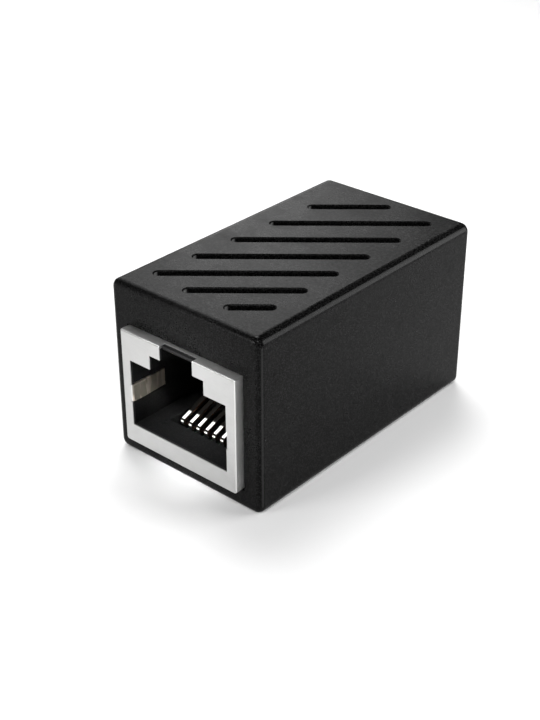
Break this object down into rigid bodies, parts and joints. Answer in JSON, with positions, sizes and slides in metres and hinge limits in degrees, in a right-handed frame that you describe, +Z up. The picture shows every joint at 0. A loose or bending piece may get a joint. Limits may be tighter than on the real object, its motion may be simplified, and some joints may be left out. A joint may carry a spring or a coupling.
{
  "type": "inline ethernet coupler",
  "caption": "Small block-shaped inline network coupler: a matte black moulded housing with slanted grooves on top and a shielded modular socket at each end.",
  "frame": {"origin": "centre of the coupler's footprint, on the surface it rests on", "axes": "+Z up, -Y out of the front port, +Y out of the rear port, +X to the right as the front port is faced"},
  "size_m": [0.018, 0.033, 0.018],
  "materials": {
    "housing_plastic": "fine-grained matte black moulding",
    "shield_plating": "satin nickel-plated sheet",
    "jack_plastic": "smooth satin black moulding",
    "contact_plating": "bright pale plated spring strip",
    "board_laminate": "dark green lacquered glass laminate"
  },
  "bodies": {
    "root": {"housing_shell": "housing_plastic", "rear_cover": "housing_plastic", "circuit_board": "board_laminate", "front_shield": "shield_plating", "front_jack_body": "jack_plastic", "front_contact_insert": "jack_plastic", "front_contact_1": "contact_plating", "front_contact_2": "contact_plating", "front_contact_3": "contact_plating", "front_contact_4": "contact_plating", "front_contact_5": "contact_plating", "front_contact_6": "contact_plating", "front_contact_7": "contact_plating", "front_contact_8": "contact_plating", "rear_shield": "shield_plating", "rear_jack_body": "jack_plastic", "rear_contact_insert": "jack_plastic", "rear_contact_1": "contact_plating", "rear_contact_2": "contact_plating", "rear_contact_3": "contact_plating", "rear_contact_4": "contact_plating", "rear_contact_5": "contact_plating", "rear_contact_6": "contact_plating", "rear_contact_7": "contact_plating", "rear_contact_8": "contact_plating"}
  },
  "joints": []
}
